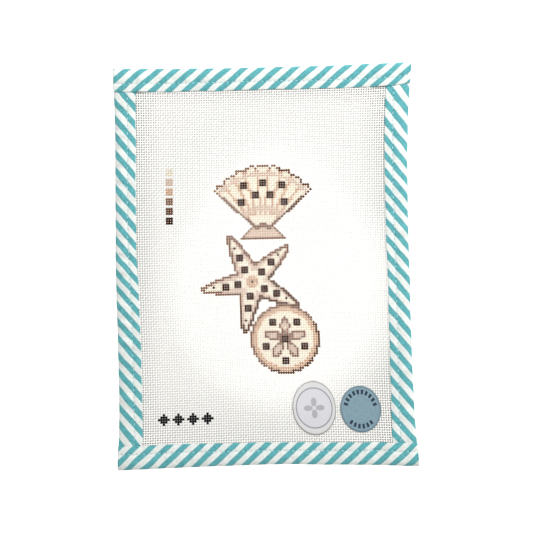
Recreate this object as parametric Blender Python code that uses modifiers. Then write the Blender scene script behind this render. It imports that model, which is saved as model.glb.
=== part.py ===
"""A painted needlepoint canvas, bound on its four edges in folded bias tape, lying on its back.

The origin is the middle of the footprint, on the surface that it lies on. +X runs to the right of the
picture, +Y to its top and +Z out of its front. Every piece is laid out flat first, in millimetres from
the lower left corner, then bent into the slightly skewed outline that handling gives a cloth.
"""

import math

import bmesh
import bpy

MM = 0.001

# Canvas: an 18-mesh mono canvas, so 18 threads to the inch each way.
MESH_PITCH = 25.4 / 18
THREADS_ACROSS = 122
THREADS_UP = 165
WIDTH = THREADS_ACROSS * MESH_PITCH
HEIGHT = THREADS_UP * MESH_PITCH
CANVAS_THICKNESS = 0.75

# Binding: bias tape folded double, so each flap is two layers of quilting cotton.
TAPE_THICKNESS = 0.5
CLEARANCE = 0.25
LAYER = TAPE_THICKNESS + CLEARANCE

# Flap widths at even places along each binding, from its lower or left end to the other.
FLAP_WIDTHS = {
    "left_binding": (13.9, 13.4, 13.2, 12.0, 12.0, 12.8),
    "right_binding": (14.5, 13.2, 12.8, 13.1, 13.5, 14.3),
    "bottom_binding": (13.9, 13.6, 12.9, 13.0, 13.5),
    "top_binding": (13.7, 13.3, 13.1, 13.3, 13.3),
}

# The canvas stops short of each fold, and the side bindings stop inside the ones that lap over them.
CANVAS_SIDE_INSET = 1.1
LAPPED_END_INSET = 2.0

# Where a side binding passes under the top or bottom one, the sandwich is two layers thicker.
LAP_REACH = 15.0
LAP_RAMP = 9.0

# Inside the binding the cloth sags until its back nearly meets the table.
RIM_HEIGHT = LAYER + CANVAS_THICKNESS / 2
MIDDLE_GAP = 0.15
SAG = LAYER - MIDDLE_GAP
SAG_START = 13.0
SAG_RUN = 46.0

# The outer fold line, from measured points on each edge: the corners and a few between them.
LEFT_EDGE = (
    (-85.7, -118.3),
    (-85.2, -79.5),
    (-86.1, -40.7),
    (-87.2, -1.9),
    (-87.4, 36.9),
    (-87.6, 75.7),
    (-88.5, 114.5),
)
RIGHT_EDGE = (
    (88.5, -115.7),
    (85.7, -76.7),
    (84.2, -37.7),
    (83.1, 1.3),
    (82.0, 40.3),
    (82.1, 79.3),
    (83.9, 118.3),
)
BOTTOM_EDGE = (
    (-85.7, -118.3),
    (-42.2, -116.6),
    (1.4, -115.0),
    (45.0, -115.1),
    (88.5, -115.7),
)
TOP_EDGE = (
    (-88.5, 114.5),
    (-45.4, 114.6),
    (-2.3, 115.4),
    (40.8, 116.6),
    (83.9, 118.3),
)

# Stickers: centre in the flat layout, half width, half height and turn in degrees.
STICKER_THICKNESS = 0.3
STICKERS = {
    "white_sticker": ((113.6, 32.7), 12.6, 15.7, 2.5),
    "blue_sticker": ((140.6, 32.6), 11.8, 13.5, 0.0),
}
STICKER_CELLS = 10

# Faces: dense through the laps at the ends of an edge, sparse between them.
END_STATIONS = (7.5, LAP_REACH, 18.0, 21.0, LAP_REACH + LAP_RAMP)
MIDDLE_CELLS = {"binding": 10, "canvas": 7}
FOLD_CELLS = 6

COLOURS = {
    "canvas": (0.88, 0.87, 0.84),
    "binding": (0.14, 0.48, 0.51),
    "white_sticker": (0.78, 0.78, 0.81),
    "blue_sticker": (0.22, 0.37, 0.43),
}


def clear_scene():
    for obj in list(bpy.data.objects):
        bpy.data.objects.remove(obj)


def curve_at(points, share):
    """The point at a share of the way along a Catmull-Rom curve through its points."""
    last = len(points) - 1
    first = min(int(share * last), last - 1)
    t = share * last - first
    start, end = points[first], points[first + 1]
    before = points[first - 1] if first > 0 else [2 * s - e for s, e in zip(start, end)]
    after = points[first + 2] if first + 2 <= last else [2 * e - s for s, e in zip(start, end)]
    return [
        0.5 * (2 * q + (r - p) * t + (2 * p - 5 * q + 4 * r - s) * t**2 + (3 * q - p - 3 * r + s) * t**3)
        for p, q, r, s in zip(before, start, end, after)
    ]


def on_table(across, up):
    """Where a point of the flat layout comes to lie: a Coons patch between the four edge curves."""
    u, v = across / WIDTH, up / HEIGHT
    left, right = curve_at(LEFT_EDGE, v), curve_at(RIGHT_EDGE, v)
    bottom, top = curve_at(BOTTOM_EDGE, u), curve_at(TOP_EDGE, u)
    return [
        (1 - v) * bottom[k]
        + v * top[k]
        + (1 - u) * left[k]
        + u * right[k]
        - (1 - u) * (1 - v) * BOTTOM_EDGE[0][k]
        - u * (1 - v) * BOTTOM_EDGE[-1][k]
        - (1 - u) * v * TOP_EDGE[0][k]
        - u * v * TOP_EDGE[-1][k]
        for k in range(2)
    ]


def ease(value, start, run):
    t = min(max((value - start) / run, 0.0), 1.0)
    return t * t * (3 - 2 * t)


def from_edge(place, length):
    return min(place, length - place)


def lapped(distance):
    """1 where one binding laps over another this far from the edge, easing to 0 past it."""
    return 1 - ease(distance, LAP_REACH, LAP_RAMP)


def canvas_height(across, up):
    """Height of the canvas's middle plane over the table."""
    side, end = from_edge(across, WIDTH), from_edge(up, HEIGHT)
    sag = SAG * ease(side, SAG_START, SAG_RUN) * ease(end, SAG_START, SAG_RUN)
    return RIM_HEIGHT + LAYER * lapped(side) * lapped(end) - sag


def placed(across, up, above):
    """World position of a point of the flat layout that is so far above the canvas's middle plane."""
    x, y = on_table(across, up)
    return (x * MM, y * MM, (canvas_height(across, up) + above) * MM)


def stations(start, end, length, middle_cells):
    """Places along an edge from start to end, closer together near the two ends of its length."""
    low = [start] + [s for s in END_STATIONS if s > start]
    high = [length - s for s in reversed(END_STATIONS)] + [end]
    step = (high[0] - low[-1]) / middle_cells
    return low + [low[-1] + step * k for k in range(1, middle_cells)] + high


def make_material(name, roughness):
    material = bpy.data.materials.new(name)
    material.use_nodes = True
    shader = material.node_tree.nodes["Principled BSDF"]
    shader.inputs["Base Color"].default_value = (*COLOURS[name], 1.0)
    shader.inputs["Roughness"].default_value = roughness
    shader.inputs["Metallic"].default_value = 0.0
    return material


def make_sheet(name, columns, rows, point_at, thickness, material, collection):
    """A grid bent to point_at(column, row), made solid to both sides of that surface."""
    mesh = bpy.data.meshes.new(name)
    grid = bmesh.new()
    bmesh.ops.create_grid(grid, x_segments=columns, y_segments=rows, size=0.5)
    for vertex in grid.verts:
        column = round((vertex.co.x + 0.5) * columns)
        row = round((vertex.co.y + 0.5) * rows)
        vertex.co = point_at(column, row)
    grid.to_mesh(mesh)
    grid.free()
    mesh.materials.append(material)
    mesh.shade_smooth()
    obj = bpy.data.objects.new(name, mesh)
    collection.objects.link(obj)
    solid = obj.modifiers.new("thickness", "SOLIDIFY")
    solid.thickness = thickness * MM
    solid.offset = 0.0
    solid.use_even_offset = True
    solid.use_quality_normals = True


def make_canvas(material, collection):
    across = stations(CANVAS_SIDE_INSET, WIDTH - CANVAS_SIDE_INSET, WIDTH, MIDDLE_CELLS["canvas"])
    up = stations(LAPPED_END_INSET, HEIGHT - LAPPED_END_INSET, HEIGHT, MIDDLE_CELLS["canvas"])

    def point_at(column, row):
        return placed(across[column], up[row], 0.0)

    make_sheet(
        "canvas", len(across) - 1, len(up) - 1, point_at, CANVAS_THICKNESS, material, collection
    )


def tape_profile(radius, flap):
    """Middle line of the folded tape, as (inward, above): front flap, round the fold, back flap."""
    centre = TAPE_THICKNESS / 2 + radius
    halfway = (flap + centre) / 2
    fold = [
        (centre - radius * math.cos(turn), radius * math.sin(turn))
        for turn in (math.pi * (0.5 - k / FOLD_CELLS) for k in range(FOLD_CELLS + 1))
    ]
    return [(flap, radius), (halfway, radius)] + fold + [(halfway, -radius), (flap, -radius)]


def make_binding(name, material, collection):
    """One folded strip of tape. The top and bottom ones rise over the ends of the side ones."""
    on_side = name in ("left_binding", "right_binding")
    length = HEIGHT if on_side else WIDTH
    inset = LAPPED_END_INSET if on_side else 0.0
    along = stations(inset, length - inset, length, MIDDLE_CELLS["binding"])
    widths = [(width,) for width in FLAP_WIDTHS[name]]
    close_fit = CANVAS_THICKNESS / 2 + CLEARANCE + TAPE_THICKNESS / 2
    sections = []
    for place in along:
        over = 0.0 if on_side else LAYER * lapped(from_edge(place, length))
        (flap,) = curve_at(widths, place / length)
        sections.append(tape_profile(close_fit + over, flap))

    def point_at(column, row):
        place = along[column]
        inward, above = sections[column][row]
        across, up = {
            "left_binding": (inward, place),
            "right_binding": (WIDTH - inward, place),
            "bottom_binding": (place, inward),
            "top_binding": (place, HEIGHT - inward),
        }[name]
        return placed(across, up, above)

    make_sheet(
        name, len(along) - 1, len(sections[0]) - 1, point_at, TAPE_THICKNESS, material, collection
    )


def make_sticker(name, material, collection):
    """A thin oval laid on the front of the canvas, from a square grid rounded into a disc."""
    (centre_across, centre_up), half_width, half_height, degrees = STICKERS[name]
    turn = math.radians(degrees)
    above = CANVAS_THICKNESS / 2 + CLEARANCE + STICKER_THICKNESS / 2

    def point_at(column, row):
        x = 2 * column / STICKER_CELLS - 1
        y = 2 * row / STICKER_CELLS - 1
        right = half_width * x * math.sqrt(1 - y * y / 2)
        over = half_height * y * math.sqrt(1 - x * x / 2)
        return placed(
            centre_across + right * math.cos(turn) - over * math.sin(turn),
            centre_up + right * math.sin(turn) + over * math.cos(turn),
            above,
        )

    make_sheet(
        name, STICKER_CELLS, STICKER_CELLS, point_at, STICKER_THICKNESS, material, collection
    )


def main():
    clear_scene()
    collection = bpy.data.collections.new("needlepoint_canvas")
    bpy.context.scene.collection.children.link(collection)
    make_canvas(make_material("canvas", 0.85), collection)
    binding = make_material("binding", 0.9)
    for name in FLAP_WIDTHS:
        make_binding(name, binding, collection)
    for name in STICKERS:
        make_sticker(name, make_material(name, 0.45), collection)


main()
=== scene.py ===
"""The looks of a painted needlepoint canvas, bound on its four edges in striped bias tape.

Everything is laid out flat first, in millimetres from the canvas's lower left corner, and then bent by
the same sheet functions that shape the model: across runs to the right, up to the top of the front.
"""

import math

import bpy
import numpy as np
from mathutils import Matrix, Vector


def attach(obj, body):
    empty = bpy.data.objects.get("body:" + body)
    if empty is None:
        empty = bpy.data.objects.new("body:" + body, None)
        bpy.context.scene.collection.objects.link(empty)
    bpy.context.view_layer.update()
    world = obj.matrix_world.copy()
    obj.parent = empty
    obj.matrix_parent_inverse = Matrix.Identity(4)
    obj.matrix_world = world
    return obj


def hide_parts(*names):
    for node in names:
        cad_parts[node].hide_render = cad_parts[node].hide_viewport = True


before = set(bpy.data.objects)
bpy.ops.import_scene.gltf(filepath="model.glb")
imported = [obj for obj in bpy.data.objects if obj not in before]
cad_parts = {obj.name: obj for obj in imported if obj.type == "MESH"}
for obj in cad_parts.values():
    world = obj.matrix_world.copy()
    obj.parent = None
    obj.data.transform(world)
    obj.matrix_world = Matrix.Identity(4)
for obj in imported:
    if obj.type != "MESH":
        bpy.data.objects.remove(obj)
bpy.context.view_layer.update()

MM = 0.001
SEED = 18

# The sheet, as the model has it
MESH_PITCH = 25.4 / 18
WIDTH = 122 * MESH_PITCH
HEIGHT = 165 * MESH_PITCH
CANVAS_THICKNESS = 0.75
TAPE_THICKNESS = 0.5
CLEARANCE = 0.25
LAYER = TAPE_THICKNESS + CLEARANCE
CLOSE_FIT = CANVAS_THICKNESS / 2 + CLEARANCE + TAPE_THICKNESS / 2
LAP_REACH = 15.0
LAP_RAMP = 9.0
LAPPED_END_INSET = 2.0
RIM_HEIGHT = LAYER + CANVAS_THICKNESS / 2
MIDDLE_GAP = 0.15
SAG = LAYER - MIDDLE_GAP
SAG_START = 13.0
SAG_RUN = 46.0
LEFT_EDGE = (
    (-85.7, -118.3),
    (-85.2, -79.5),
    (-86.1, -40.7),
    (-87.2, -1.9),
    (-87.4, 36.9),
    (-87.6, 75.7),
    (-88.5, 114.5),
)
RIGHT_EDGE = (
    (88.5, -115.7),
    (85.7, -76.7),
    (84.2, -37.7),
    (83.1, 1.3),
    (82.0, 40.3),
    (82.1, 79.3),
    (83.9, 118.3),
)
BOTTOM_EDGE = (
    (-85.7, -118.3),
    (-42.2, -116.6),
    (1.4, -115.0),
    (45.0, -115.1),
    (88.5, -115.7),
)
TOP_EDGE = (
    (-88.5, 114.5),
    (-45.4, 114.6),
    (-2.3, 115.4),
    (40.8, 116.6),
    (83.9, 118.3),
)

# Threads: 120 up and 162 across, each a five-sided strand that bends over and under the others. The
# width varies by this share and the place by this many millimetres. Between two crossings a thread is
# darker by this share, a painted shade where it dips between them.
WARP_COUNT = 120
WEFT_COUNT = 162
FIRST_WARP = 1.5 * MESH_PITCH
FIRST_WEFT = 2.0 * MESH_PITCH
STRAND_SIDES = 5
STRAND_HALF_WIDTH = 0.385
STRAND_HALF_HEIGHT = 0.28
STRAND_UNEVENNESS = 0.035
STRAND_DRIFT = 0.01
WEAVE_RISE = 0.11
DIP_SHADE = 0.21
CAP_ON_MAP = 0.002

# Binding: flap widths and teal stripes counted up to even places along each strip, from its lower or
# left end, then how far a stripe runs along the strip for each step towards the middle of the canvas
FLAP_WIDTHS = {
    "left": (13.9, 13.4, 13.2, 12.0, 12.0, 12.8),
    "right": (14.5, 13.2, 12.8, 13.1, 13.5, 14.3),
    "bottom": (13.9, 13.6, 12.9, 13.0, 13.5),
    "top": (13.7, 13.3, 13.1, 13.3, 13.3),
}
STRIPE_COUNTS = {
    "left": (-1.88, 0.41, 2.73, 5.06, 7.44, 9.96, 12.38, 14.68, 17.02, 19.32, 21.60),
    "right": (-1.00, 1.21, 3.43, 5.69, 7.93, 10.25, 12.65, 15.10, 17.54, 19.80, 21.90),
    "bottom": (-0.25, 1.98, 4.20, 6.43, 8.70, 10.98, 13.26, 15.59, 17.97),
    "top": (-0.15, 2.14, 4.37, 6.55, 8.72, 10.86, 13.02, 15.15, 17.38),
}
STRIPE_LEAN = {"left": -1.17, "right": 1.21, "bottom": 1.09, "top": -1.14}
STRIPE_MIDDLE = 6.5
STRIPE_PERIOD = 9.9
STRIPE_WIDTH = 6.4
STRIPE_WANDER = 0.02
PRINT_EDGE = 0.012
YARN_PITCH = 0.34
SLUBS_ACROSS = 2.6
SLUBS_ALONG = 0.45
THREAD_BUMP = 0.02

# Folded tape: how many points cross a flap, the turns in degrees of those round the fold, how far in the
# fold reaches on each face, and how much narrower the back flap is
FLAP_POINTS = 19
FOLD_TURNS_FRONT = range(80, -1, -10)
FOLD_TURNS_BACK = range(15, 91, 15)
FOLD_REACH_FRONT = 4.6
FOLD_REACH_BACK = 1.6
FOLD_TIP_DROP = 0.3
BACK_SHORTFALL = 0.6

# Puffed flaps, pressed hems and ripples. The waves are from so short to so long.
PUFF = 0.4
PUFF_START = 1.5
PUFF_FULLNESS = 0.8
HEM_PUFF = 0.1
HEM_PRESS = 0.28
HEM_THINNING = 0.4
HEM_REACH = 0.9
HEM_TURNS = (45, 90, 135)
HEM_CLOTH = (0.2, 0.35, 0.5)
END_PINCH = 1.35
PINCH_REACH = 5.5
RIPPLE = 0.16
RIPPLE_WAVES = (5.0, 14.0)
RIPPLE_AT_EDGES = 0.25
WIDTH_WAVER = 0.12
WIDTH_WAVES = (9.0, 40.0)
FOLD_WAVER = 0.07
FOLD_WAVES = (14.0, 60.0)
WANDER_WAVES = (10.0, 30.0)

# Seam: the cloth drawn in along it and at its needle holes, and the thread. Each stitch is shown along
# these shares of its length, at these heights.
STITCH_INSET = 4.6
STITCH_LENGTH = 2.9
ROWS_PER_STITCH = 4
STITCH_DIP = 0.11
STITCH_DIP_REACH = 0.8
BACK_DRAW = 0.2
BACK_DRAW_REACH = 0.9
HOLE_DIP = 0.1
HOLE_REACH_ALONG = 0.45
HOLE_REACH_ACROSS = 0.5
THREAD_RADIUS = 0.15
THREAD_FLATNESS = 0.8
THREAD_SIDES = 6
STITCH_GAP = 0.34
STITCH_SLANT = 0.12
STITCH_SHARES = (0.0, 0.08, 0.25, 0.5, 0.75, 0.92, 1.0)
STITCH_LIFTS = (-0.3, 0.0, 0.13, 0.17, 0.13, 0.0, -0.3)
BACK_TUCK = 0.5

# Stickers: centre, half width, half height and turn in degrees
STICKERS = {
    "oval_sticker": ((113.6, 33.1), 12.6, 15.7, 2.5),
    "round_sticker": ((140.6, 32.6), 11.8, 13.5, 0.0),
}
STICKER_BOTTOM = 0.46
STICKER_THICKNESS = 0.22

# The outline of a sticker's section, from the middle of its front round the rim to that of its back: how
# far out each ring of points is, how high it is, and where it goes on the map for baking
STICKER_SEGMENTS = 72
STICKER_SHARES = (0.02, 0.3, 0.6, 0.85, 0.975, 0.995, 1.0, 1.0, 0.995, 0.975, 0.6, 0.02)
STICKER_HEIGHTS = (1.0, 1.0, 1.0, 1.0, 1.0, 0.93, 0.75, 0.25, 0.07, 0.0, 0.0, 0.0)
STICKER_SPREAD = (0.02, 0.3, 0.6, 0.85, 0.95, 0.96, 0.97, 0.98, 0.99, 1.0, 0.6, 0.02)
STICKER_RAGGEDNESS = 0.003
CURL = 0.12
CURL_START = 0.8
CURL_TOWARDS = 0.7

# How much wider the coats of paint make a thread, by the number of its paint
PAINT_BODY = (0.0, 0.01, 0.02, 0.02, 0.08, 0.15, 0.22, 0.2)

# Camera: straight down on the canvas from where one pixel of a 533-pixel picture is 0.5807 mm
PICTURE_PIXELS = 533
PIXEL = 0.5807
LENS = 70.0
SENSOR = 36.0
VIEW_CENTRE = (0.2, -0.17)

# The pool of light on the middle of the canvas, in metres. It is wider at its foot.
POOL_CENTRE = (0.006, -0.004)
POOL_REACH = (0.066, 0.082)
POOL_SPREAD = 0.15
POOL_RIM = (0.65, 1.25)

# Where the floor begins to glow outside the canvas, and where its glow under the mesh fades towards the
# sides, the foot and the head, in metres
OUTSIDE_FROM = (0.080, 0.110)
OUTSIDE_RAMP = 0.004
MESH_CENTRE = -0.004
MESH_SIDES = (0.057, 0.072)
MESH_FOOT = (-0.122, -0.066)
MESH_HEAD = (0.093, 0.104)

# Strength of the glow outside, under the pool and under the rest of the mesh, and that of the sky
GLOW_OUTSIDE = 0.95
GLOW_POOL = 0.8
GLOW_MESH = 0.46
GLOW_COLOUR = (1.0, 0.975, 0.94, 1.0)
# The floor's grey is painted shade for the holes near the rim, where the glow fades.
FLOOR_GREY = (0.45, 0.45, 0.45)
FLOOR_REACH = 3000.0
FLOOR_DROP = 0.02
SKY_STRENGTH = 0.69


def srgb(red, green, blue):
    """A linear colour from 0 to 255 screen values."""
    shares = [value / 255 for value in (red, green, blue)]
    return tuple(s / 12.92 if s <= 0.04045 else ((s + 0.055) / 1.055) ** 2.4 for s in shares)


TEAL = srgb(84, 156, 161)
TAPE_WHITE = srgb(213, 217, 213)
THREAD_AQUA = srgb(180, 222, 227)
CANVAS_WHITE = srgb(251, 250, 246)

# Prints of the stickers: half sizes in millimetres, dashes to a whole turn, and half arcs in radians
OVAL_PAPER = srgb(198, 197, 198)
OVAL_TINT = srgb(194, 193, 198)
PETAL_GREY = srgb(156, 157, 161)
RING_GREY = srgb(132, 132, 136)
CUT_GREY = srgb(142, 140, 136)
ROUND_BLUE = srgb(116, 142, 153)
ROUND_EDGE = srgb(72, 95, 109)
NAVY = srgb(28, 46, 64)
PRINTED_OVAL = (10.6, 11.9)
PETAL_REACH = 6.2
DASHES = 22
TOP_ARC = 1.42
BOTTOM_ARC = 0.84
PAPER_BUMP = 0.01

# Paints of the design, by their number in it: bare canvas first, then the six of the colour key
BARE, CREAM, BEIGE, TAN, MAUVE, BROWN, DARK, BLACK = range(8)
PAINTS = (
    CANVAS_WHITE,
    srgb(236, 227, 207),
    srgb(212, 187, 167),
    srgb(206, 168, 134),
    srgb(136, 99, 74),
    srgb(100, 64, 36),
    srgb(60, 28, 3),
    srgb(22, 21, 23),
)

# Places in the design, by the numbers of the threads: its middle, the top square of the colour key and
# the first of the black diamonds
DESIGN_CENTRE = (60.0, 80.0)
SWATCH_TOP = (21, 120)
SWATCH_STEP = 4
SWATCH_REACH = 2
DIAMOND_FIRST = (17, 18)
DIAMOND_STEP = 6
DIAMOND_REACH = 3
DIAMONDS = 4


def curve_at(points, share):
    """Points at these shares of the way along a Catmull-Rom curve through evenly spaced points."""
    points = np.array(points, float).reshape(len(points), -1)
    before_first, after_last = 2 * points[0] - points[1], 2 * points[-1] - points[-2]
    run = np.vstack([before_first, points, after_last])
    place = np.asarray(share, float) * (len(points) - 1)
    first = np.clip(place.astype(int), 0, len(points) - 2)
    t = (place - first)[..., None]
    p, q, r, s = (run[first + k] for k in range(4))
    bend = 2 * p - 5 * q + 4 * r - s
    twist = 3 * q - p - 3 * r + s
    return 0.5 * (2 * q + (r - p) * t + bend * t**2 + twist * t**3)


def ease(value, start, run):
    t = np.clip((value - start) / run, 0, 1)
    return t * t * (3 - 2 * t)


def from_edge(place, length):
    return np.minimum(place, length - place)


def lapped(distance):
    return 1 - ease(distance, LAP_REACH, LAP_RAMP)


def canvas_height(across, up):
    side, end = from_edge(across, WIDTH), from_edge(up, HEIGHT)
    sag = SAG * ease(side, SAG_START, SAG_RUN) * ease(end, SAG_START, SAG_RUN)
    return RIM_HEIGHT + LAYER * lapped(side) * lapped(end) - sag


def placed(across, up, above):
    """World points in millimetres, from the flat layout and a height above the canvas's middle."""
    across, up, above = np.broadcast_arrays(across, up, above)
    u, v = (across / WIDTH)[..., None], (up / HEIGHT)[..., None]
    left, right = curve_at(LEFT_EDGE, v[..., 0]), curve_at(RIGHT_EDGE, v[..., 0])
    bottom, top = curve_at(BOTTOM_EDGE, u[..., 0]), curve_at(TOP_EDGE, u[..., 0])
    corners = (
        (1 - u) * (1 - v) * np.array(BOTTOM_EDGE[0])
        + u * (1 - v) * np.array(BOTTOM_EDGE[-1])
        + (1 - u) * v * np.array(TOP_EDGE[0])
        + u * v * np.array(TOP_EDGE[-1])
    )
    flat = (1 - v) * bottom + v * top + (1 - u) * left + u * right - corners
    return np.concatenate([flat, (canvas_height(across, up) + above)[..., None]], axis=-1)


def make_mesh(name, points, faces, material):
    mesh = bpy.data.meshes.new(name)
    mesh.from_pydata((points.reshape(-1, 3) * MM).tolist(), [], faces)
    mesh.materials.append(material)
    mesh.shade_smooth()
    piece = bpy.data.objects.new(name, mesh)
    bpy.context.scene.collection.objects.link(piece)
    return piece


def drawn_in(share, margin):
    """A share of a map, drawn in by this margin at either end, so that what lies beside it is clear."""
    return margin + (1 - 2 * margin) * share


def add_uv(piece, name, corners):
    layer = piece.data.uv_layers.new(name=name)
    layer.data.foreach_set("uv", np.asarray(corners, np.float32).ravel())


def loop_faces(lines, rings, flip):
    """Quads round a tube of points, this many lines of rings points each."""
    ring = np.arange(rings)
    line = np.arange(lines - 1)[:, None]
    here, there = line * rings + ring, line * rings + (ring + 1) % rings
    quads = np.stack([here, there, there + rings, here + rings], axis=-1)
    return (quads[..., ::-1] if flip else quads).reshape(-1, 4)


# The painted design. Sizes are in threads, and angles in degrees clockwise from the top.


def spot(paint, x, y, centre, reach, colour):
    """A square spot on whole stitches, as near its centre as they allow."""
    paint[np.maximum(np.abs(x - round(centre[0])), np.abs(y - round(centre[1]))) < reach] = colour


def scallop(paint, x, y, hinge, radius, ribs, half_turn):
    """A fan shell that stands on its hinge, with rows of spots between its ribs."""
    dx, dy = x - hinge[0], y - hinge[1]
    r, turn = np.hypot(dx, dy), np.degrees(np.arctan2(dx, dy))
    rib = (turn / (2 * half_turn) + 0.5) * ribs
    from_rib_middle = np.abs(rib - np.floor(rib) - 0.5)
    edge = radius * (1 - 0.0012 * np.abs(turn)) + 1.1 * np.abs(np.sin(np.pi * rib)) - 0.6
    fan = (np.abs(turn) < half_turn) & (r < edge)
    ears = (np.abs(dx) < 8.6 - 0.9 * dy) & (dy > -1.6) & (dy < 3.6)
    paint[ears] = BEIGE
    paint[ears & ((dy < -0.6) | (np.abs(dx) > 7.2 - 0.9 * dy))] = MAUVE
    paint[fan] = CREAM
    from_rib_line = (0.5 - from_rib_middle) * r * math.radians(2 * half_turn / ribs)
    paint[fan & (from_rib_line < 0.55) & (r > 9)] = TAN
    for share in (0.39, 0.87):
        paint[fan & (np.abs(r - share * radius) < 0.9)] = BEIGE
    for number in range(1, ribs - 1):
        middle = math.radians((number + 0.5) / ribs * 2 * half_turn - half_turn)
        out = radius * (0.76 if number % 2 == 0 else 0.57)
        place = hinge[0] + out * math.sin(middle), hinge[1] + out * math.cos(middle)
        spot(paint, x, y, place, 2, DARK)
    side = np.abs(turn) > half_turn - np.degrees(1.2 / np.maximum(r, 1))
    outline = fan & ((r > edge - 1.05) | side | (r < 5.2))
    paint[outline] = MAUVE
    paint[outline & (dx > 6)] = BROWN
    paint[fan & (r < 3.6)] = BEIGE


def five_arms(dx, dy, tilt):
    """Distance out along the nearest of five arms, and off to its side."""
    r, turn = np.hypot(dx, dy), np.degrees(np.arctan2(dx, dy)) - tilt
    arm = np.radians((turn + 36) % 72 - 36)
    return r * np.cos(arm), np.abs(r * np.sin(arm))


def starfish(paint, x, y, centre, radius, tilt):
    along, off = five_arms(x - centre[0], y - centre[1], tilt)
    r = np.hypot(along, off)
    body = off < 5.4 * np.sqrt(np.clip(1 - along / radius, 0, 1))
    inner = off < 5.4 * np.sqrt(np.clip(1 - along / (radius - 1.2), 0, 1)) - 1.1
    paint[body] = MAUVE
    paint[body & (x - centre[0] > y - centre[1] + 4)] = BROWN
    paint[inner] = BEIGE
    paint[inner & (off < 2.6 - 0.1 * along)] = CREAM
    for arm in np.radians(tilt + 72 * np.arange(5)):
        for share, reach in ((0.27, 2), (0.5, 2), (0.72, 1)):
            place = centre[0] + share * radius * math.sin(arm), centre[1] + share * radius * math.cos(arm)
            spot(paint, x, y, place, reach, DARK)
    paint[r < 2.6] = TAN
    spot(paint, x, y, centre, 1, DARK)


def sand_dollar(paint, x, y, centre, radius):
    along, off = five_arms(x - centre[0], y - centre[1], 0)
    r = np.hypot(along, off)
    paint[r < radius] = MAUVE
    paint[(r < radius) & (x - centre[0] > y - centre[1] + 6)] = BROWN
    paint[r < radius - 1.1] = TAN
    paint[r < radius - 2.9] = CREAM
    petal = ((along - 5.3) / 3.9) ** 2 + (off / 2.1) ** 2
    paint[petal < 1.0] = MAUVE
    paint[petal < 0.3] = BEIGE
    spot(paint, x, y, centre, 2, DARK)
    for between_arms in np.radians(36 + 72 * np.arange(5)):
        place = centre[0] + 8.6 * math.sin(between_arms), centre[1] + 8.6 * math.cos(between_arms)
        spot(paint, x, y, place, 2, DARK)


def painted():
    """The number of the paint on each crossing, by warp and weft thread."""
    warp, weft = np.meshgrid(np.arange(WARP_COUNT), np.arange(WEFT_COUNT), indexing="ij")
    paint = np.full(warp.shape, BARE)
    x, y = warp - DESIGN_CENTRE[0], weft - DESIGN_CENTRE[1]
    starfish(paint, x, y, centre=(-5.0, -6.0), radius=22.0, tilt=46)
    scallop(paint, x, y, hinge=(0, 13.0), radius=29.5, ribs=9, half_turn=48)
    sand_dollar(paint, x, y, centre=(8.0, -30.0), radius=14.4)
    for number, colour in enumerate((CREAM, BEIGE, TAN, MAUVE, BROWN, DARK)):
        middle = SWATCH_TOP[0], SWATCH_TOP[1] - SWATCH_STEP * number
        spot(paint, warp, weft, middle, SWATCH_REACH, colour)
    for number in range(DIAMONDS):
        off = np.abs(warp - DIAMOND_FIRST[0] - DIAMOND_STEP * number) + np.abs(weft - DIAMOND_FIRST[1])
        paint[off < DIAMOND_REACH] = BLACK
    return paint


# Materials


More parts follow.
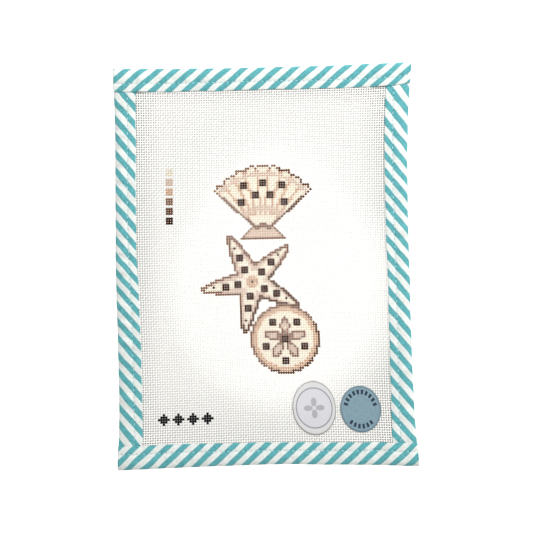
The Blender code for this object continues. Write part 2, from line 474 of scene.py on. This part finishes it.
class Look:
    """A material's node tree, built one short call at a time."""

    def __init__(self, name, roughness, specular=0.3, sheen=0.0):
        self.material = bpy.data.materials.new(name)
        self.material.use_nodes = True
        self.tree = self.material.node_tree
        self.shader = self.tree.nodes["Principled BSDF"]
        self.shader.inputs["Roughness"].default_value = roughness
        self.shader.inputs["Specular IOR Level"].default_value = specular
        self.shader.inputs["Sheen Weight"].default_value = sheen

    def node(self, kind, sockets=None, **settings):
        made = self.tree.nodes.new(kind)
        for key, value in settings.items():
            setattr(made, key, value)
        for key, value in (sockets or {}).items():
            self.feed(made.inputs[key], value)
        return made

    def feed(self, socket, value):
        if isinstance(value, bpy.types.NodeSocket):
            self.tree.links.new(value, socket)
        else:
            socket.default_value = value

    def math(self, operation, *values):
        made = self.node("ShaderNodeMath", operation=operation)
        for socket, value in zip(made.inputs, values):
            self.feed(socket, value)
        return made.outputs[0]

    def noise(self, scale, detail=3.0, vector=None):
        """Noise from 0 to 1. scale is in waves per metre of the object, or per unit of the vector."""
        if vector is None:
            vector = self.node("ShaderNodeTexCoord").outputs["Object"]
        made = self.node("ShaderNodeTexNoise", {"Vector": vector, "Scale": scale, "Detail": detail})
        return made.outputs["Fac"]

    def between(self, value, low, high, out_low=0.0, out_high=1.0):
        sockets = {0: value, 1: low, 2: high, 3: out_low, 4: out_high}
        return self.node("ShaderNodeMapRange", sockets).outputs[0]

    def blend(self, share, first, second, kind="MIX"):
        made = self.node("ShaderNodeMix", data_type="RGBA", blend_type=kind)
        for socket, value in zip((made.inputs[0], made.inputs[6], made.inputs[7]), (share, first, second)):
            is_colour = isinstance(value, tuple)
            self.feed(socket, (*value, 1.0) if is_colour else value)
        return made.outputs[2]

    def shade(self, colour, brightness):
        """The colour, darkened or lightened by a number that varies over the surface."""
        grey = self.node("ShaderNodeCombineColor", {0: brightness, 1: brightness, 2: brightness})
        return self.blend(1.0, colour, grey.outputs[0], "MULTIPLY")

    def uv(self, name):
        place = self.node("ShaderNodeUVMap", uv_map=name).outputs[0]
        parts = self.node("ShaderNodeSeparateXYZ", {0: place})
        return parts.outputs[0], parts.outputs[1]

    def twist(self, along, around, turns):
        """From -1 to 1 over the plies of a twisted thread, so many turns to each unit along it."""
        ply = self.math("ADD", self.math("MULTIPLY", along, turns), around)
        return self.math("SINE", self.math("MULTIPLY", ply, 2 * math.pi))

    def length(self, x, y):
        squares = self.math("ADD", self.math("MULTIPLY", x, x), self.math("MULTIPLY", y, y))
        return self.math("SQRT", squares)

    def gap(self, value, place):
        """How far a value is from a place, either way."""
        return self.math("ABSOLUTE", self.math("SUBTRACT", value, place))

    def finish(self, colour, height=None, depth=0.0):
        """Connects the colour, and a bump of this depth in millimetres."""
        self.feed(self.shader.inputs["Base Color"], colour)
        if height is not None:
            sockets = {"Height": height, "Distance": depth * MM, "Strength": 1.0}
            self.feed(self.shader.inputs["Normal"], self.node("ShaderNodeBump", sockets).outputs[0])
        return self.material


def canvas_material():
    """Sized white cotton, painted crossing by crossing. The paint changes halfway between crossings."""
    look = Look("canvas_threads", roughness=0.8, specular=0.08)
    paints = look.node("ShaderNodeAttribute", attribute_name="paint").outputs["Vector"]
    here, there, _ = look.node("ShaderNodeSeparateXYZ", {0: paints}).outputs
    along, around = look.uv("strand")
    is_there = look.math("GREATER_THAN", along, 0.5)
    number = look.math(
        "ADD",
        look.math("MULTIPLY", here, look.math("SUBTRACT", 1.0, is_there)),
        look.math("MULTIPLY", there, is_there),
    )
    ramp = look.node("ShaderNodeValToRGB", {0: number})
    ramp.color_ramp.interpolation = "CONSTANT"
    for index, colour in enumerate(PAINTS):
        stops = ramp.color_ramp.elements
        stop = stops[index] if index < 2 else stops.new(index / len(PAINTS))
        stop.position = index / len(PAINTS)
        stop.color = (*colour, 1.0)
    # Painted shade: each thread darkens towards the middle between two crossings, where it dips.
    between_crossings = look.math("SINE", look.math("MULTIPLY", along, math.pi))
    dip = look.math("MULTIPLY_ADD", between_crossings, -DIP_SHADE, 1.0)
    mottle = look.between(look.noise(700.0), 0.3, 0.7, 0.96, 1.02)
    colour = look.shade(ramp.outputs[0], look.math("MULTIPLY", mottle, dip))
    return look.finish(colour, look.twist(along, around, 3.0), THREAD_BUMP)


def tape_material():
    """Quilting cotton printed in stripes. The cloth map counts stripes across and runs along them."""
    look = Look("striped_tape", roughness=0.9, specular=0.2, sheen=0.15)
    count, along = look.uv("cloth")
    ragged = look.between(look.noise(1500.0, 2.0), 0.0, 1.0, -PRINT_EDGE, PRINT_EDGE)
    from_teal = look.math("PINGPONG", look.math("ADD", count, ragged), 0.5)
    is_white = look.between(from_teal, 0.235, 0.265)

    across = look.math("MULTIPLY", count, STRIPE_WIDTH)
    streaks = []
    for fine, long in ((across, along), (along, across)):
        x, y = look.math("MULTIPLY", fine, SLUBS_ACROSS), look.math("MULTIPLY", long, SLUBS_ALONG)
        stretched = look.node("ShaderNodeCombineXYZ", {0: x, 1: y}).outputs[0]
        streaks.append(look.noise(1.0, 2.0, stretched))
    slubs = look.between(look.math("ADD", *streaks), 0.7, 1.3, -0.16, 0.16)
    cloud = look.between(look.noise(800.0, 3.0), 0.3, 0.7, 0.84, 1.16)
    teal = look.shade(TEAL, look.math("ADD", cloud, slubs))
    faint_cloud = look.math("POWER", cloud, 0.45)
    # Painted shade: soft grey patches on the white stripes, where puckers in the cloth would lie in shade.
    pucker_shade = look.between(look.noise(90.0, 2.0), 0.35, 0.5, 0.93, 1.0)
    white = look.shade(TAPE_WHITE, look.math("MULTIPLY_ADD", slubs, 0.5, faint_cloud))
    white = look.shade(white, pucker_shade)

    turns = 2 * math.pi / YARN_PITCH
    yarns_across = look.math("SINE", look.math("MULTIPLY", across, turns))
    yarns_along = look.math("SINE", look.math("MULTIPLY", along, turns))
    weave = look.math("MULTIPLY", yarns_across, yarns_along)
    # Painted shade in the needle holes: the cloth darkens within about half a millimetre of each hole on
    # the seam.
    stitches, off_seam = look.uv("seam")
    from_hole = look.math("MULTIPLY", look.math("PINGPONG", stitches, 0.5), STITCH_LENGTH)
    needle_hole_shade = look.between(look.length(from_hole, off_seam), 0.2, 0.6, 0.62, 1.0)
    colour = look.shade(look.blend(is_white, teal, white), needle_hole_shade)
    return look.finish(colour, weave, THREAD_BUMP)


def stitch_material():
    """Smooth two-ply sewing thread."""
    look = Look("sewing_thread", roughness=0.55, specular=0.5)
    twist = look.twist(*look.uv("strand"), 4.0)
    # Painted shade and highlight along the plies: darker in the grooves between them, lighter on their
    # crowns.
    colour = look.shade(THREAD_AQUA, look.between(twist, -1.0, 1.0, 0.9, 1.06))
    return look.finish(colour, twist, THREAD_BUMP)


def print_places(look, half_width, half_height):
    """Distance from a sticker's middle as a share of these half sizes in millimetres, and the turn."""
    x, y = look.uv("print")
    wide, high = look.math("DIVIDE", x, half_width), look.math("DIVIDE", y, half_height)
    return look.length(wide, high), look.math("ARCTAN2", high, wide)


def oval_sticker_material():
    """Off-white paper with a lavender oval inside a thin grey ring, and a four-petal mark."""
    look = Look("oval_sticker_paper", roughness=0.45, specular=0.4)
    share, _ = print_places(look, *PRINTED_OVAL)
    inside = look.between(share, 0.985, 1.0, 1.0, 0.0)
    ring = look.between(look.gap(share, 0.98), 0.022, 0.042, 1.0, 0.0)
    reach, turn = print_places(look, PETAL_REACH, PETAL_REACH)
    lobes = look.math("ABSOLUTE", look.math("COSINE", look.math("MULTIPLY", turn, 2.0)))
    petal = look.between(look.math("SUBTRACT", lobes, reach), 0.0, 0.06)
    off_hub = look.between(reach, 0.16, 0.2)
    cut, _ = print_places(look, *STICKERS["oval_sticker"][1:3])
    cut_edge = look.between(cut, 0.945, 0.975)
    paper = look.blend(inside, OVAL_PAPER, OVAL_TINT)
    paper = look.blend(look.math("MULTIPLY", petal, off_hub), paper, PETAL_GREY)
    paper = look.blend(ring, paper, RING_GREY)
    paper = look.blend(cut_edge, paper, CUT_GREY)
    fibre = look.between(look.noise(2500.0), 0.2, 0.8, 0.97, 1.01)
    return look.finish(look.shade(paper, fibre), look.noise(1200.0), PAPER_BUMP)


def round_sticker_material():
    """Blue-grey paper, brushed round its middle, with two arcs of plain navy dashes."""
    look = Look("round_sticker_paper", roughness=0.42, specular=0.4)
    share, turn = print_places(look, *STICKERS["round_sticker"][1:3])
    around = look.node("ShaderNodeCombineXYZ", {0: look.math("MULTIPLY", share, 9.0), 1: turn, 2: 0.0})
    brushed = look.noise(1.6, 4.0, around.outputs[0])
    paper = look.shade(ROUND_BLUE, look.between(brushed, 0.3, 0.7, 0.85, 1.12))
    paper = look.blend(look.between(share, 0.9, 1.0, 0.0, 0.8), paper, ROUND_EDGE)

    dash = look.math("PINGPONG", look.math("MULTIPLY", turn, DASHES / (2 * math.pi)), 0.5)
    is_dash = look.between(dash, 0.26, 0.3, 1.0, 0.0)
    band = look.between(look.gap(share, 0.74), 0.09, 0.11, 1.0, 0.0)
    top_arc = look.math("LESS_THAN", look.gap(turn, math.pi / 2), TOP_ARC)
    bottom_arc = look.math("LESS_THAN", look.gap(turn, -math.pi / 2), BOTTOM_ARC)
    arcs = look.math("MAXIMUM", top_arc, bottom_arc)
    ink = look.math("MULTIPLY", look.math("MULTIPLY", is_dash, band), arcs)
    return look.finish(look.blend(ink, paper, NAVY), brushed, PAPER_BUMP)


def floor_material():
    """Grey paper that glows round the canvas and, more faintly, under its mesh. Places are in metres.

    Its grey is painted shade: near the rim, where the glow fades, the holes in the mesh show it dark.
    """
    look = Look("floor_paper", roughness=0.95, specular=0.1)
    place = look.node("ShaderNodeTexCoord").outputs["Object"]
    x, y, _ = look.node("ShaderNodeSeparateXYZ", {0: place}).outputs
    beside = look.math("SUBTRACT", look.math("ABSOLUTE", x), OUTSIDE_FROM[0])
    beyond = look.math("SUBTRACT", look.math("ABSOLUTE", y), OUTSIDE_FROM[1])
    outside = look.between(look.math("MAXIMUM", beside, beyond), 0.0, OUTSIDE_RAMP, 0.0, GLOW_OUTSIDE)

    across, up = look.math("SUBTRACT", x, POOL_CENTRE[0]), look.math("SUBTRACT", y, POOL_CENTRE[1])
    half_width = look.math("MULTIPLY_ADD", up, -POOL_SPREAD, POOL_REACH[0])
    wide = look.math("POWER", look.math("DIVIDE", across, half_width), 2.0)
    high = look.math("POWER", look.math("DIVIDE", up, POOL_REACH[1]), 2.0)
    pool = look.between(look.math("ADD", wide, high), *POOL_RIM, GLOW_POOL, 0.0)

    off_sides = look.between(look.gap(x, MESH_CENTRE), *MESH_SIDES, 1.0, 0.0)
    off_foot = look.between(y, *MESH_FOOT)
    off_head = look.between(y, *MESH_HEAD, 1.0, 0.0)
    off_rim = look.math("MULTIPLY", off_sides, look.math("MULTIPLY", off_foot, off_head))
    inside = look.math("MAXIMUM", pool, look.math("MULTIPLY", off_rim, GLOW_MESH))
    look.feed(look.shader.inputs["Emission Color"], GLOW_COLOUR)
    look.feed(look.shader.inputs["Emission Strength"], look.math("MAXIMUM", outside, inside))
    return look.finish(look.shade(FLOOR_GREY, look.between(look.noise(8.0), 0.0, 1.0, 0.99, 1.01)))


# Woven canvas


def make_threads(name, is_warp, paint, material, rng):
    """Every thread of one direction as a five-sided strand, with a ring of points at each crossing."""
    numbers = paint if is_warp else paint.T
    threads, crossings = numbers.shape
    thread, crossing = np.arange(threads)[:, None, None], np.arange(crossings)[None, :, None]
    turn = math.pi / 2 + 2 * math.pi * np.arange(STRAND_SIDES) / STRAND_SIDES
    fatness = 1 + STRAND_UNEVENNESS * rng.standard_normal((threads, 1, 1)).clip(-2, 2)
    drift = STRAND_DRIFT * rng.standard_normal((threads, crossings, 1)).clip(-2, 2)
    body = 1 + np.array(PAINT_BODY)[numbers][..., None]
    half_width = STRAND_HALF_WIDTH / np.cos(turn).max() * fatness * body
    sideways = half_width * np.cos(turn) + drift
    over = np.where((thread + crossing + is_warp) % 2 == 0, 1.0, -1.0)
    above = STRAND_HALF_HEIGHT * np.sin(turn) + over * WEAVE_RISE
    first_thread, first_crossing = (FIRST_WARP, FIRST_WEFT) if is_warp else (FIRST_WEFT, FIRST_WARP)
    side = first_thread + thread * MESH_PITCH + sideways
    length = np.broadcast_to(first_crossing + crossing * MESH_PITCH, side.shape)
    across, up = (side, length) if is_warp else (length, side)
    points = placed(across, up, above)

    strand = loop_faces(crossings, STRAND_SIDES, flip=is_warp)
    ring = np.arange(STRAND_SIDES)
    starts = np.arange(threads) * crossings * STRAND_SIDES
    sides = (starts[:, None, None] + strand[None]).reshape(-1, 4)
    near, far = (ring, ring[::-1]) if is_warp else (ring[::-1], ring)
    last_ring = (crossings - 1) * STRAND_SIDES
    caps = [start + end for start in starts for end in (near, far + last_ring)]
    piece = make_mesh(name, points, sides.tolist() + [cap.tolist() for cap in caps], material)

    flat = np.stack([across / WIDTH, up / HEIGHT], axis=-1).reshape(-1, 2)
    cap_shape = CAP_ON_MAP * np.stack([np.cos(turn), np.sin(turn)], axis=-1)
    cap_flat = np.concatenate([flat[cap] + cap_shape for cap in caps])
    add_uv(piece, "OFBake", np.concatenate([flat[sides.ravel()], cap_flat]))
    along = np.array([0, 0, 1, 1], float)
    around = ring[:, None] + np.array([0, 1, 1, 0])
    strand_map = np.stack(np.broadcast_arrays(along, around / STRAND_SIDES), axis=-1)
    if is_warp:
        strand_map = strand_map[:, ::-1]
    all_maps = np.tile(strand_map.reshape(-1, 2), (threads * (crossings - 1), 1))
    add_uv(piece, "strand", np.concatenate([all_maps, np.zeros((len(cap_flat), 2))]))

    stops = (numbers + 0.5) / len(PAINTS)
    pairs = np.zeros((threads * (crossings - 1), 1, 3))
    pairs[:, 0, 0] = stops[:, :-1].ravel()
    pairs[:, 0, 1] = stops[:, 1:].ravel()
    side_paint = np.broadcast_to(pairs, (len(pairs), STRAND_SIDES * 4, 3)).reshape(-1, 3)
    cap_paint = np.full((len(cap_flat), 3), (BARE + 0.5) / len(PAINTS))
    attribute = piece.data.attributes.new("paint", "FLOAT_VECTOR", "CORNER")
    attribute.data.foreach_set("vector", np.concatenate([side_paint, cap_paint]).astype(np.float32).ravel())
    return piece


# Binding


def is_upright(side):
    return side in ("left", "right")


def strip_length(side):
    return HEIGHT if is_upright(side) else WIDTH


def to_layout(side, place, inward):
    """Layout coordinates of a point that is so far along one strip and so far in from its fold."""
    return {
        "left": (inward, place),
        "right": (WIDTH - inward, place),
        "bottom": (place, inward),
        "top": (place, HEIGHT - inward),
    }[side]


def ripples(rng, place, inward, shortest, longest):
    """Soft irregular waves of about unit height, that lean every which way."""
    total = np.zeros(np.broadcast(place, inward).shape)
    waves = 8
    for _ in range(waves):
        wave = rng.uniform(shortest, longest)
        lean = rng.uniform(-1.0, 1.0)
        shift = rng.uniform(0, 2 * math.pi)
        total += np.sin(2 * math.pi * (place + lean * inward) / wave + shift)
    return total / math.sqrt(waves)


def bell(distance, reach):
    """1 at no distance, falling off smoothly within about this reach either way."""
    return np.exp(-((distance / reach) ** 2))


def side_rng(side, use):
    """A source of random numbers of its own for each strip and each use."""
    return np.random.default_rng((SEED, list(FLAP_WIDTHS).index(side), use))


def flap_width(side, place):
    """Width of a strip's flap, pinched at the right end of the top strip, where the hem curls up."""
    length = strip_length(side)
    pinch = END_PINCH * bell(length - place, PINCH_REACH) * (side == "top")
    return curve_at(FLAP_WIDTHS[side], place / length)[..., 0] - pinch


def lap_over(side, place):
    """How much looser a strip is folded, where it laps over the ends of the side strips."""
    if is_upright(side):
        return np.zeros_like(place)
    return LAYER * lapped(from_edge(place, strip_length(side)))


def front_height(side, place, inward, width):
    """Middle of the front flap above the canvas's middle: puffed, and drawn in at the stitches."""
    seam = width - STITCH_INSET
    outer = np.clip((inward - PUFF_START) / (seam - PUFF_START), 0, 1)
    hem = np.clip((inward - seam) / STITCH_INSET, 0, 1)
    free = 1 - lapped(from_edge(place, strip_length(side))) * is_upright(side)
    puff = PUFF * np.sin(math.pi * outer) ** PUFF_FULLNESS + HEM_PUFF * np.sin(math.pi * hem)
    waves = RIPPLE * ripples(side_rng(side, 0), place, inward, *RIPPLE_WAVES)
    waves = waves * (RIPPLE_AT_EDGES + np.sin(math.pi * outer))
    dip = STITCH_DIP * bell(inward - seam, STITCH_DIP_REACH)
    pressed = HEM_PRESS * ease(inward, seam, STITCH_INSET)
    return CLOSE_FIT + lap_over(side, place) + free * (puff + waves) - np.maximum(dip, pressed)


def stitch_places(side):
    """Places of the needle holes along a strip."""
    count = int(strip_length(side) / STITCH_LENGTH)
    return np.linspace(LAPPED_END_INSET, strip_length(side) - LAPPED_END_INSET, count + 1)


def stripe_count(side, place):
    """How many teal stripes cross the strip's middle line before this place."""
    length = strip_length(side)
    inside = np.clip(place, 0, length)
    return curve_at(STRIPE_COUNTS[side], inside / length)[..., 0] + (place - inside) / STRIPE_PERIOD


def fold_part(reach, height, turns):
    """Part of the fold, from its tip towards a flap at this height, as how far in and how far above."""
    turn = np.radians(turns)
    fold_in = reach - (reach - TAPE_THICKNESS / 2) * np.cos(turn)
    fold_up = (height + FOLD_TIP_DROP) * np.sin(turn) - FOLD_TIP_DROP
    return np.broadcast_to(fold_in, fold_up.shape), fold_up


def tape_line(side, place):
    """Middle line of the folded tape at each place along it: front hem, round the fold, back hem.

    Gives how far in from the fold and how far above the canvas's middle each point is."""
    place = place[:, None]
    width = flap_width(side, place) + WIDTH_WAVER * ripples(side_rng(side, 1), place, 0.0, *WIDTH_WAVES)
    share = np.linspace(0, 1, FLAP_POINTS)
    front_in = FOLD_REACH_FRONT + (width - FOLD_REACH_FRONT) * share[::-1]
    front_up = front_height(side, place, front_in, width)
    fold_top = front_height(side, place, np.full_like(width, FOLD_REACH_FRONT), width)
    upper_in, upper_up = fold_part(FOLD_REACH_FRONT, fold_top, FOLD_TURNS_FRONT)

    back = -CLOSE_FIT - lap_over(side, place)
    lower_in, lower_up = fold_part(FOLD_REACH_BACK, back, FOLD_TURNS_BACK)
    back_in = FOLD_REACH_BACK + (width - BACK_SHORTFALL - FOLD_REACH_BACK) * share[1:]
    back_up = back + BACK_DRAW * bell(back_in - (width - STITCH_INSET), BACK_DRAW_REACH)
    inward = np.concatenate([front_in, upper_in, lower_in, back_in], axis=1)
    above = np.concatenate([front_up, upper_up, lower_up, back_up], axis=1)
    return inward, above


def hole_dips(side, place, inward, width):
    """Dimples where the needle went through, between one stitch and the next."""
    holes = stitch_places(side)
    step = holes[1] - holes[0]
    off = (place - holes[0] + step / 2) % step - step / 2
    return HOLE_DIP * bell(off, HOLE_REACH_ALONG) * bell(inward - (width - STITCH_INSET), HOLE_REACH_ACROSS)


def skin_of(inward, above):
    """The doubled tape's surface round its middle line: outer face, back hem, inner face, front hem."""
    slope_in, slope_up = np.gradient(inward, axis=1), np.gradient(above, axis=1)
    size = np.hypot(slope_in, slope_up)
    ahead_in, ahead_up = slope_in / size, slope_up / size
    out_in, out_up = ahead_up, -ahead_in
    half = TAPE_THICKNESS / 2 * (1 - HEM_THINNING * bell(inward[:, :1] - inward, HEM_REACH))
    turn = np.radians(HEM_TURNS)

    def hem(at, sign):
        """Three points round the folded edge of a flap, from its outer face to its inner one."""
        out, forward = np.cos(turn) * half[:, [at]], np.sin(turn) * half[:, [at]] * sign
        hem_in = inward[:, [at]] + out * out_in[:, [at]] + forward * ahead_in[:, [at]]
        hem_up = above[:, [at]] + out * out_up[:, [at]] + forward * ahead_up[:, [at]]
        return hem_in, hem_up

    outer = inward + half * out_in, above + half * out_up
    inner = inward - half * out_in, above - half * out_up
    front_hem, back_hem = hem(0, -1), hem(-1, 1)
    return [
        np.concatenate([outer[k], back_hem[k], inner[k][:, ::-1], front_hem[k][:, ::-1]], axis=1)
        for k in range(2)
    ]


def cloth_round(inward, above, width):
    """How far the cloth has run at each point of the skin, counted down from the front hem."""
    steps = np.hypot(np.diff(inward, axis=1), np.diff(above, axis=1))
    travelled = np.concatenate([np.zeros((len(inward), 1)), np.cumsum(steps, axis=1)], axis=1)
    outer = width - travelled
    inner = outer[:, ::-1]
    inner = inner - HEM_CLOTH[-1] * (inner < 0)
    hem = np.array(HEM_CLOTH)
    return np.concatenate([outer, outer[:, -1:] - hem, inner, outer[:, :1] + hem[::-1]], axis=1)


def make_tape(side, material):
    """One folded strip, as a closed skin round its two faces, its two hems and its two ends."""
    length, holes = strip_length(side), stitch_places(side)
    inset = LAPPED_END_INSET if is_upright(side) else 0.0
    rows = (len(holes) - 1) * ROWS_PER_STITCH
    place = np.linspace(inset, length - inset, rows + 1)
    inward, above = tape_line(side, place)
    place, width = place[:, None], inward[:, :1]
    columns = inward.shape[1]
    on_front = np.arange(columns) < FLAP_POINTS
    above = above - np.where(on_front, hole_dips(side, place, inward, width), 0.0)
    around_in, around_up = skin_of(inward, above)
    rings = around_in.shape[1]

    rng = side_rng(side, 2)
    waver = FOLD_WAVER * ripples(rng, place, 0.0, *FOLD_WAVES)
    all_places = np.broadcast_to(place, around_in.shape)
    points = placed(*to_layout(side, all_places, around_in + waver), 0.0)
    lies_on = canvas_height(*to_layout(side, all_places, np.clip(around_in, 0, None)))
    points[..., 2] = np.maximum(lies_on + around_up, 0.0)
    flip = side in ("left", "top")
    faces = loop_faces(len(place), rings, flip).tolist() + cap_faces(columns, rings, len(place), flip)
    piece = make_mesh(f"{side}_tape", points, faces, material)

    cloth = cloth_round(inward, above, width)
    lean = STRIPE_LEAN[side]
    count = stripe_count(side, place - lean * (cloth - STRIPE_MIDDLE))
    count = count + STRIPE_WANDER * ripples(rng, place, cloth, *WANDER_WAVES)
    along = (lean * place + cloth) / math.hypot(1, lean)
    seam_along = (all_places - holes[0]) / (holes[1] - holes[0])
    girth = (cloth - cloth.min()) / np.ptp(cloth)
    corners = np.array([corner for face in faces for corner in face])
    for name, first, second in (
        ("cloth", count, along),
        ("seam", seam_along, cloth - width + STITCH_INSET),
        ("OFBake", drawn_in(all_places / length, 0.01), drawn_in(girth, 0.01)),
    ):
        add_uv(piece, name, np.stack([first, second], axis=-1).reshape(-1, 2)[corners])
    return piece


def cap_faces(columns, rings, lines, flip):
    """Faces that close both ends of a tape, between its outer and inner faces and round its hems."""
    last = 2 * columns + len(HEM_TURNS) - 1
    cells = [(k, k + 1, last - 1 - k, last - k) for k in range(columns - 1)]
    reach = len(HEM_TURNS) + 1
    hems = [tuple(range(columns - 1, columns + reach)), (*range(rings - reach, rings), 0)]
    caps = []
    for start, is_far in ((0, False), ((lines - 1) * rings, True)):
        for cell in cells + hems:
            face = [start + corner for corner in cell]
            caps.append(face[::-1] if is_far == flip else face)
    return caps


# Stitching


def make_stitches(side, material):
    """The seam's thread: a short stitch from each needle hole to the next, arched on the front."""
    holes = stitch_places(side)
    share, lift = np.array(STITCH_SHARES), np.array(STITCH_LIFTS)
    shown = STITCH_GAP / 2 + (1 - STITCH_GAP) * share
    place = holes[:-1, None] + shown * (holes[1] - holes[0])
    count = len(place)
    slant = side_rng(side, 3).uniform(-STITCH_SLANT, STITCH_SLANT, (2, count, 1))
    width = flap_width(side, place)
    inward = width - STITCH_INSET + slant * (2 * share - 1)
    front = front_height(side, place, inward[0], width) + TAPE_THICKNESS / 2 + lift
    underside = -CLOSE_FIT - TAPE_THICKNESS / 2 - lap_over(side, place)
    back = underside + THREAD_FLATNESS * THREAD_RADIUS - BACK_TUCK * np.minimum(lift, 0)
    turn = 2 * math.pi * np.arange(THREAD_SIDES) / THREAD_SIDES
    ring_in = inward[..., None] + THREAD_RADIUS * np.cos(turn)
    ring_up = np.stack([front, back])[..., None] + THREAD_FLATNESS * THREAD_RADIUS * np.sin(turn)
    all_places = np.broadcast_to(place[None, ..., None], ring_in.shape)
    points = placed(*to_layout(side, all_places, ring_in), ring_up).reshape(-1, 3)
    points[:, 2] = np.maximum(points[:, 2], 0.0)

    flip = side in ("right", "bottom")
    tube = loop_faces(len(share), THREAD_SIDES, flip)
    starts = np.arange(2 * count) * len(share) * THREAD_SIDES
    faces = (starts[:, None, None] + tube).reshape(-1, 4)
    piece = make_mesh(f"{side}_stitching", points, faces.tolist(), material)

    line, ring = np.divmod(np.arange(len(tube)), THREAD_SIDES)
    along = share[line[:, None] + [0, 0, 1, 1]]
    around = (ring[:, None] + [0, 1, 1, 0]) / THREAD_SIDES
    strand = np.stack([along, around], axis=-1)
    strand = (strand[:, ::-1] if flip else strand).reshape(1, -1, 2)
    add_uv(piece, "strand", np.broadcast_to(strand, (2 * count, *strand.shape[1:])))
    face, number = np.divmod(np.arange(2 * count)[:, None], count)
    cell = drawn_in(strand, 0.02)
    bake = [(number + cell[..., 0]) / count, (face + cell[..., 1]) / 2]
    add_uv(piece, "OFBake", np.stack(bake, axis=-1))
    return piece


# Stickers


def make_sticker(name, material):
    """Paper cut to an oval, with a softly rounded rim, lying on the front of the canvas."""
    (centre_across, centre_up), half_width, half_height, degrees = STICKERS[name]
    angle = math.radians(degrees)
    turn = np.linspace(0, 2 * math.pi, STICKER_SEGMENTS, endpoint=False)
    share, height, spread = np.array([STICKER_SHARES, STICKER_HEIGHTS, STICKER_SPREAD])[..., None]
    rng = np.random.default_rng(SEED + len(name))
    ragged = STICKER_RAGGEDNESS * rng.standard_normal(STICKER_SEGMENTS).clip(-2, 2)
    reach = share * (1 + ragged * share)
    x, y = half_width * reach * np.cos(turn), half_height * reach * np.sin(turn)
    across = centre_across + x * math.cos(angle) - y * math.sin(angle)
    up = centre_up + x * math.sin(angle) + y * math.cos(angle)
    near_rim = np.clip((share - CURL_START) / (1 - CURL_START), 0, None)
    curl = CURL * near_rim * (0.5 + 0.5 * np.cos(turn - CURL_TOWARDS)) ** 2
    points = placed(across, up, STICKER_BOTTOM + STICKER_THICKNESS * height + curl)
    rings = len(share)
    back = range((rings - 1) * STICKER_SEGMENTS, rings * STICKER_SEGMENTS)
    faces = loop_faces(rings, STICKER_SEGMENTS, flip=True).tolist()
    faces += [list(range(STICKER_SEGMENTS)), list(back)[::-1]]
    piece = make_mesh(name, points, faces, material)
    corners = np.array([corner for face in faces for corner in face])
    add_uv(piece, "print", np.stack([x, y], axis=-1).reshape(-1, 2)[corners])
    disc = np.stack([spread * np.cos(turn), spread * np.sin(turn)], axis=-1)
    add_uv(piece, "OFBake", (0.5 + 0.5 * disc).reshape(-1, 2)[corners])
    return piece


# Stage


def make_floor(material):
    corners = FLOOR_REACH * np.array([(-1, -1), (1, -1), (1, 1), (-1, 1)])
    points = np.concatenate([corners, np.full((4, 1), -FLOOR_DROP)], axis=1)
    return make_mesh("floor", points, [[0, 1, 2, 3]], material)


def add_lamp(name, place, aim, size, energy, spread):
    """A flat lamp that faces its aim. Places and sizes are in metres, and the spread in degrees."""
    light = bpy.data.lights.new(name, "AREA")
    light.shape = "ELLIPSE"
    light.size, light.size_y = size
    light.energy = energy
    light.spread = math.radians(spread)
    lamp = bpy.data.objects.new(name, light)
    lamp.location = place
    lamp.rotation_euler = (Vector(aim) - Vector(place)).to_track_quat("-Z", "Y").to_euler()
    bpy.context.scene.collection.objects.link(lamp)


def light_studio():
    """Soft light from all round, a broad lamp at the upper right and a pool of light from above."""
    world = bpy.data.worlds.new("studio")
    bpy.context.scene.world = world
    world.use_nodes = True
    backdrop = world.node_tree.nodes["Background"]
    backdrop.inputs["Color"].default_value = (1.0, 1.0, 1.0, 1.0)
    backdrop.inputs["Strength"].default_value = SKY_STRENGTH
    add_lamp("key", (0.36, 0.60, 0.64), aim=(0, 0, 0), size=(0.45, 0.45), energy=9.5, spread=180)
    size = [2 * reach for reach in POOL_REACH]
    add_lamp("pool", (*POOL_CENTRE, 0.8), aim=(*POOL_CENTRE, 0), size=size, energy=0.010, spread=2.2)
    bpy.context.scene.view_settings.view_transform = "Standard"


def aim_camera():
    camera = bpy.data.cameras.new("camera")
    camera.lens = LENS
    camera.sensor_width = SENSOR
    viewpoint = bpy.data.objects.new("camera", camera)
    height = PICTURE_PIXELS * PIXEL * LENS / SENSOR
    viewpoint.location = (VIEW_CENTRE[0] * MM, VIEW_CENTRE[1] * MM, height * MM)
    bpy.context.scene.collection.objects.link(viewpoint)
    bpy.context.scene.camera = viewpoint


aim_camera()
light_studio()
make_floor(floor_material())

rng = np.random.default_rng(SEED)
paint = painted()
cotton = canvas_material()
warp = make_threads("warp_threads", True, paint, cotton, rng)
weft = make_threads("weft_threads", False, paint, cotton, rng)
for piece in (warp, weft):
    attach(piece, "root")
    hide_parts("canvas")

tape_cloth = tape_material()
thread = stitch_material()
for side in FLAP_WIDTHS:
    tape, stitches = make_tape(side, tape_cloth), make_stitches(side, thread)
    for piece in (tape, stitches):
        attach(piece, "root")
    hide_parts(f"{side}_binding")

for name, node, make_material in (
    ("oval_sticker", "white_sticker", oval_sticker_material),
    ("round_sticker", "blue_sticker", round_sticker_material),
):
    sticker = make_sticker(name, make_material())
    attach(sticker, "root")
    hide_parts(node)
